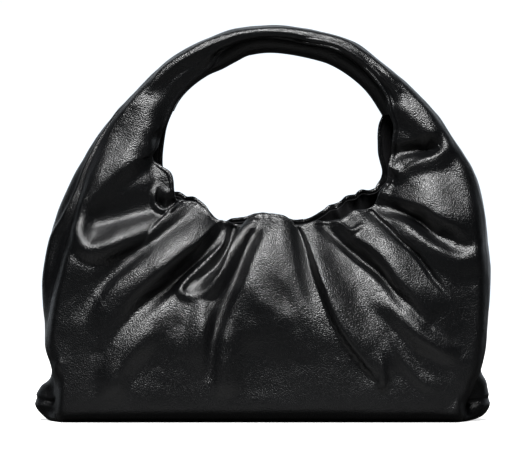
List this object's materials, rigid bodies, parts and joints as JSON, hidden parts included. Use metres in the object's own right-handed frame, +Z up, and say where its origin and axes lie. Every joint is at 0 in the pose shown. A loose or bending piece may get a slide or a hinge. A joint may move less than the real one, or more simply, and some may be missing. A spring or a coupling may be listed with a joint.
{
  "type": "cloud pouch bag",
  "caption": "Wide gathered soft leather shoulder pouch whose shoulders run up into an arched hollow handle, standing on a flat base.",
  "frame": {"origin": "on the floor, under the middle of the bag's bounding box", "axes": "+X to the bag's right as seen from its front, -Y out of the front panel, +Z up"},
  "size_m": [0.43, 0.1236, 0.372],
  "materials": {
    "black_leather": "soft fine-pebbled black calf leather with a satin sheen",
    "inner_leather": "matt black leather facing inside the mouth"
  },
  "bodies": {
    "root": {"front_panel": "black_leather", "back_panel": "black_leather", "gusset_left": "black_leather", "gusset_right": "black_leather", "corner_fold_left": "black_leather", "corner_fold_right": "black_leather", "base_panel": "black_leather", "handle": "black_leather", "handle_inner_band": "black_leather", "mouth_facing_front": "inner_leather", "mouth_facing_back": "inner_leather"}
  },
  "joints": []
}
